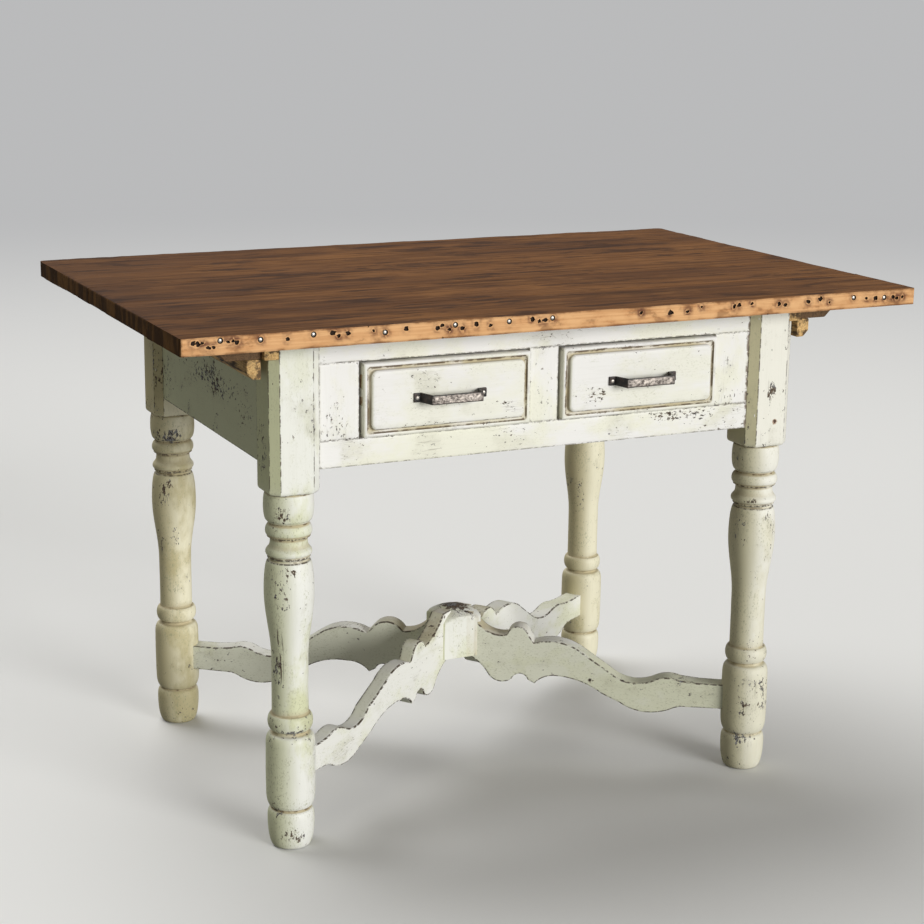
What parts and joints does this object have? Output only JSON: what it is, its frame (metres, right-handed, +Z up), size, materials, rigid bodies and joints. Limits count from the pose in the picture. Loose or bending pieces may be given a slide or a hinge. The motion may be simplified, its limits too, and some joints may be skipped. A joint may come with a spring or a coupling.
{
  "type": "kitchen table with drawers",
  "caption": "Painted kitchen table with a stained board top, turned legs, side-by-side lipped drawers and a scalloped cross stretcher.",
  "frame": {"origin": "on the floor, under the centre of the top", "axes": "+X along the table's length to the right as seen from the drawer side, +Y to the back, +Z up; the drawers open towards -Y"},
  "size_m": [1.17, 0.765, 0.786],
  "materials": {
    "top_wood": "satin",
    "batten_wood": "matte",
    "inner_wood": "matte",
    "drawer_wood": "matte",
    "paint": "satin",
    "pull_iron": "satin",
    "screw_steel": "satin"
  },
  "bodies": {
    "table": {"back_apron": "paint", "batten_board_left": "batten_wood", "batten_board_right": "batten_wood", "batten_clasp_left": "batten_wood", "batten_clasp_right": "batten_wood", "batten_nails": "screw_steel", "bearer_strip_left": "batten_wood", "bearer_strip_right": "batten_wood", "drawer_kicker_left": "inner_wood", "drawer_kicker_middle": "inner_wood", "drawer_kicker_right": "inner_wood", "drawer_runner_left": "inner_wood", "drawer_runner_middle": "inner_wood", "drawer_runner_right": "inner_wood", "drawer_stops": "inner_wood", "front_bottom_rail": "paint", "front_muntin": "paint", "front_stile_left": "paint", "front_stile_right": "paint", "front_top_rail": "paint", "joint_pegs": "paint", "leg_back_left": "paint", "leg_back_right": "paint", "leg_front_left": "paint", "leg_front_right": "paint", "side_apron_left": "paint", "side_apron_right": "paint", "stretcher_arm_back_left": "paint", "stretcher_arm_back_right": "paint", "stretcher_arm_front_left": "paint", "stretcher_arm_front_right": "paint", "stretcher_hub": "paint", "top_board_1": "top_wood", "top_board_2": "top_wood", "top_board_3": "top_wood", "top_board_4": "top_wood", "top_board_5": "top_wood"},
    "left_drawer": {"left_drawer_back": "drawer_wood", "left_drawer_bottom": "drawer_wood", "left_drawer_front": "paint", "left_drawer_pull": "pull_iron", "left_drawer_pull_screws": "screw_steel", "left_drawer_side_left": "drawer_wood", "left_drawer_side_right": "drawer_wood"},
    "right_drawer": {"right_drawer_back": "drawer_wood", "right_drawer_bottom": "drawer_wood", "right_drawer_front": "paint", "right_drawer_pull": "pull_iron", "right_drawer_pull_screws": "screw_steel", "right_drawer_side_left": "drawer_wood", "right_drawer_side_right": "drawer_wood"}
  },
  "joints": [
    {"name": "left_drawer_slide", "type": "slide", "parent": "table", "child": "left_drawer", "axis": [0, -1, 0], "range_m": [0, 0.38]},
    {"name": "right_drawer_slide", "type": "slide", "parent": "table", "child": "right_drawer", "axis": [0, -1, 0], "range_m": [0, 0.38]}
  ]
}
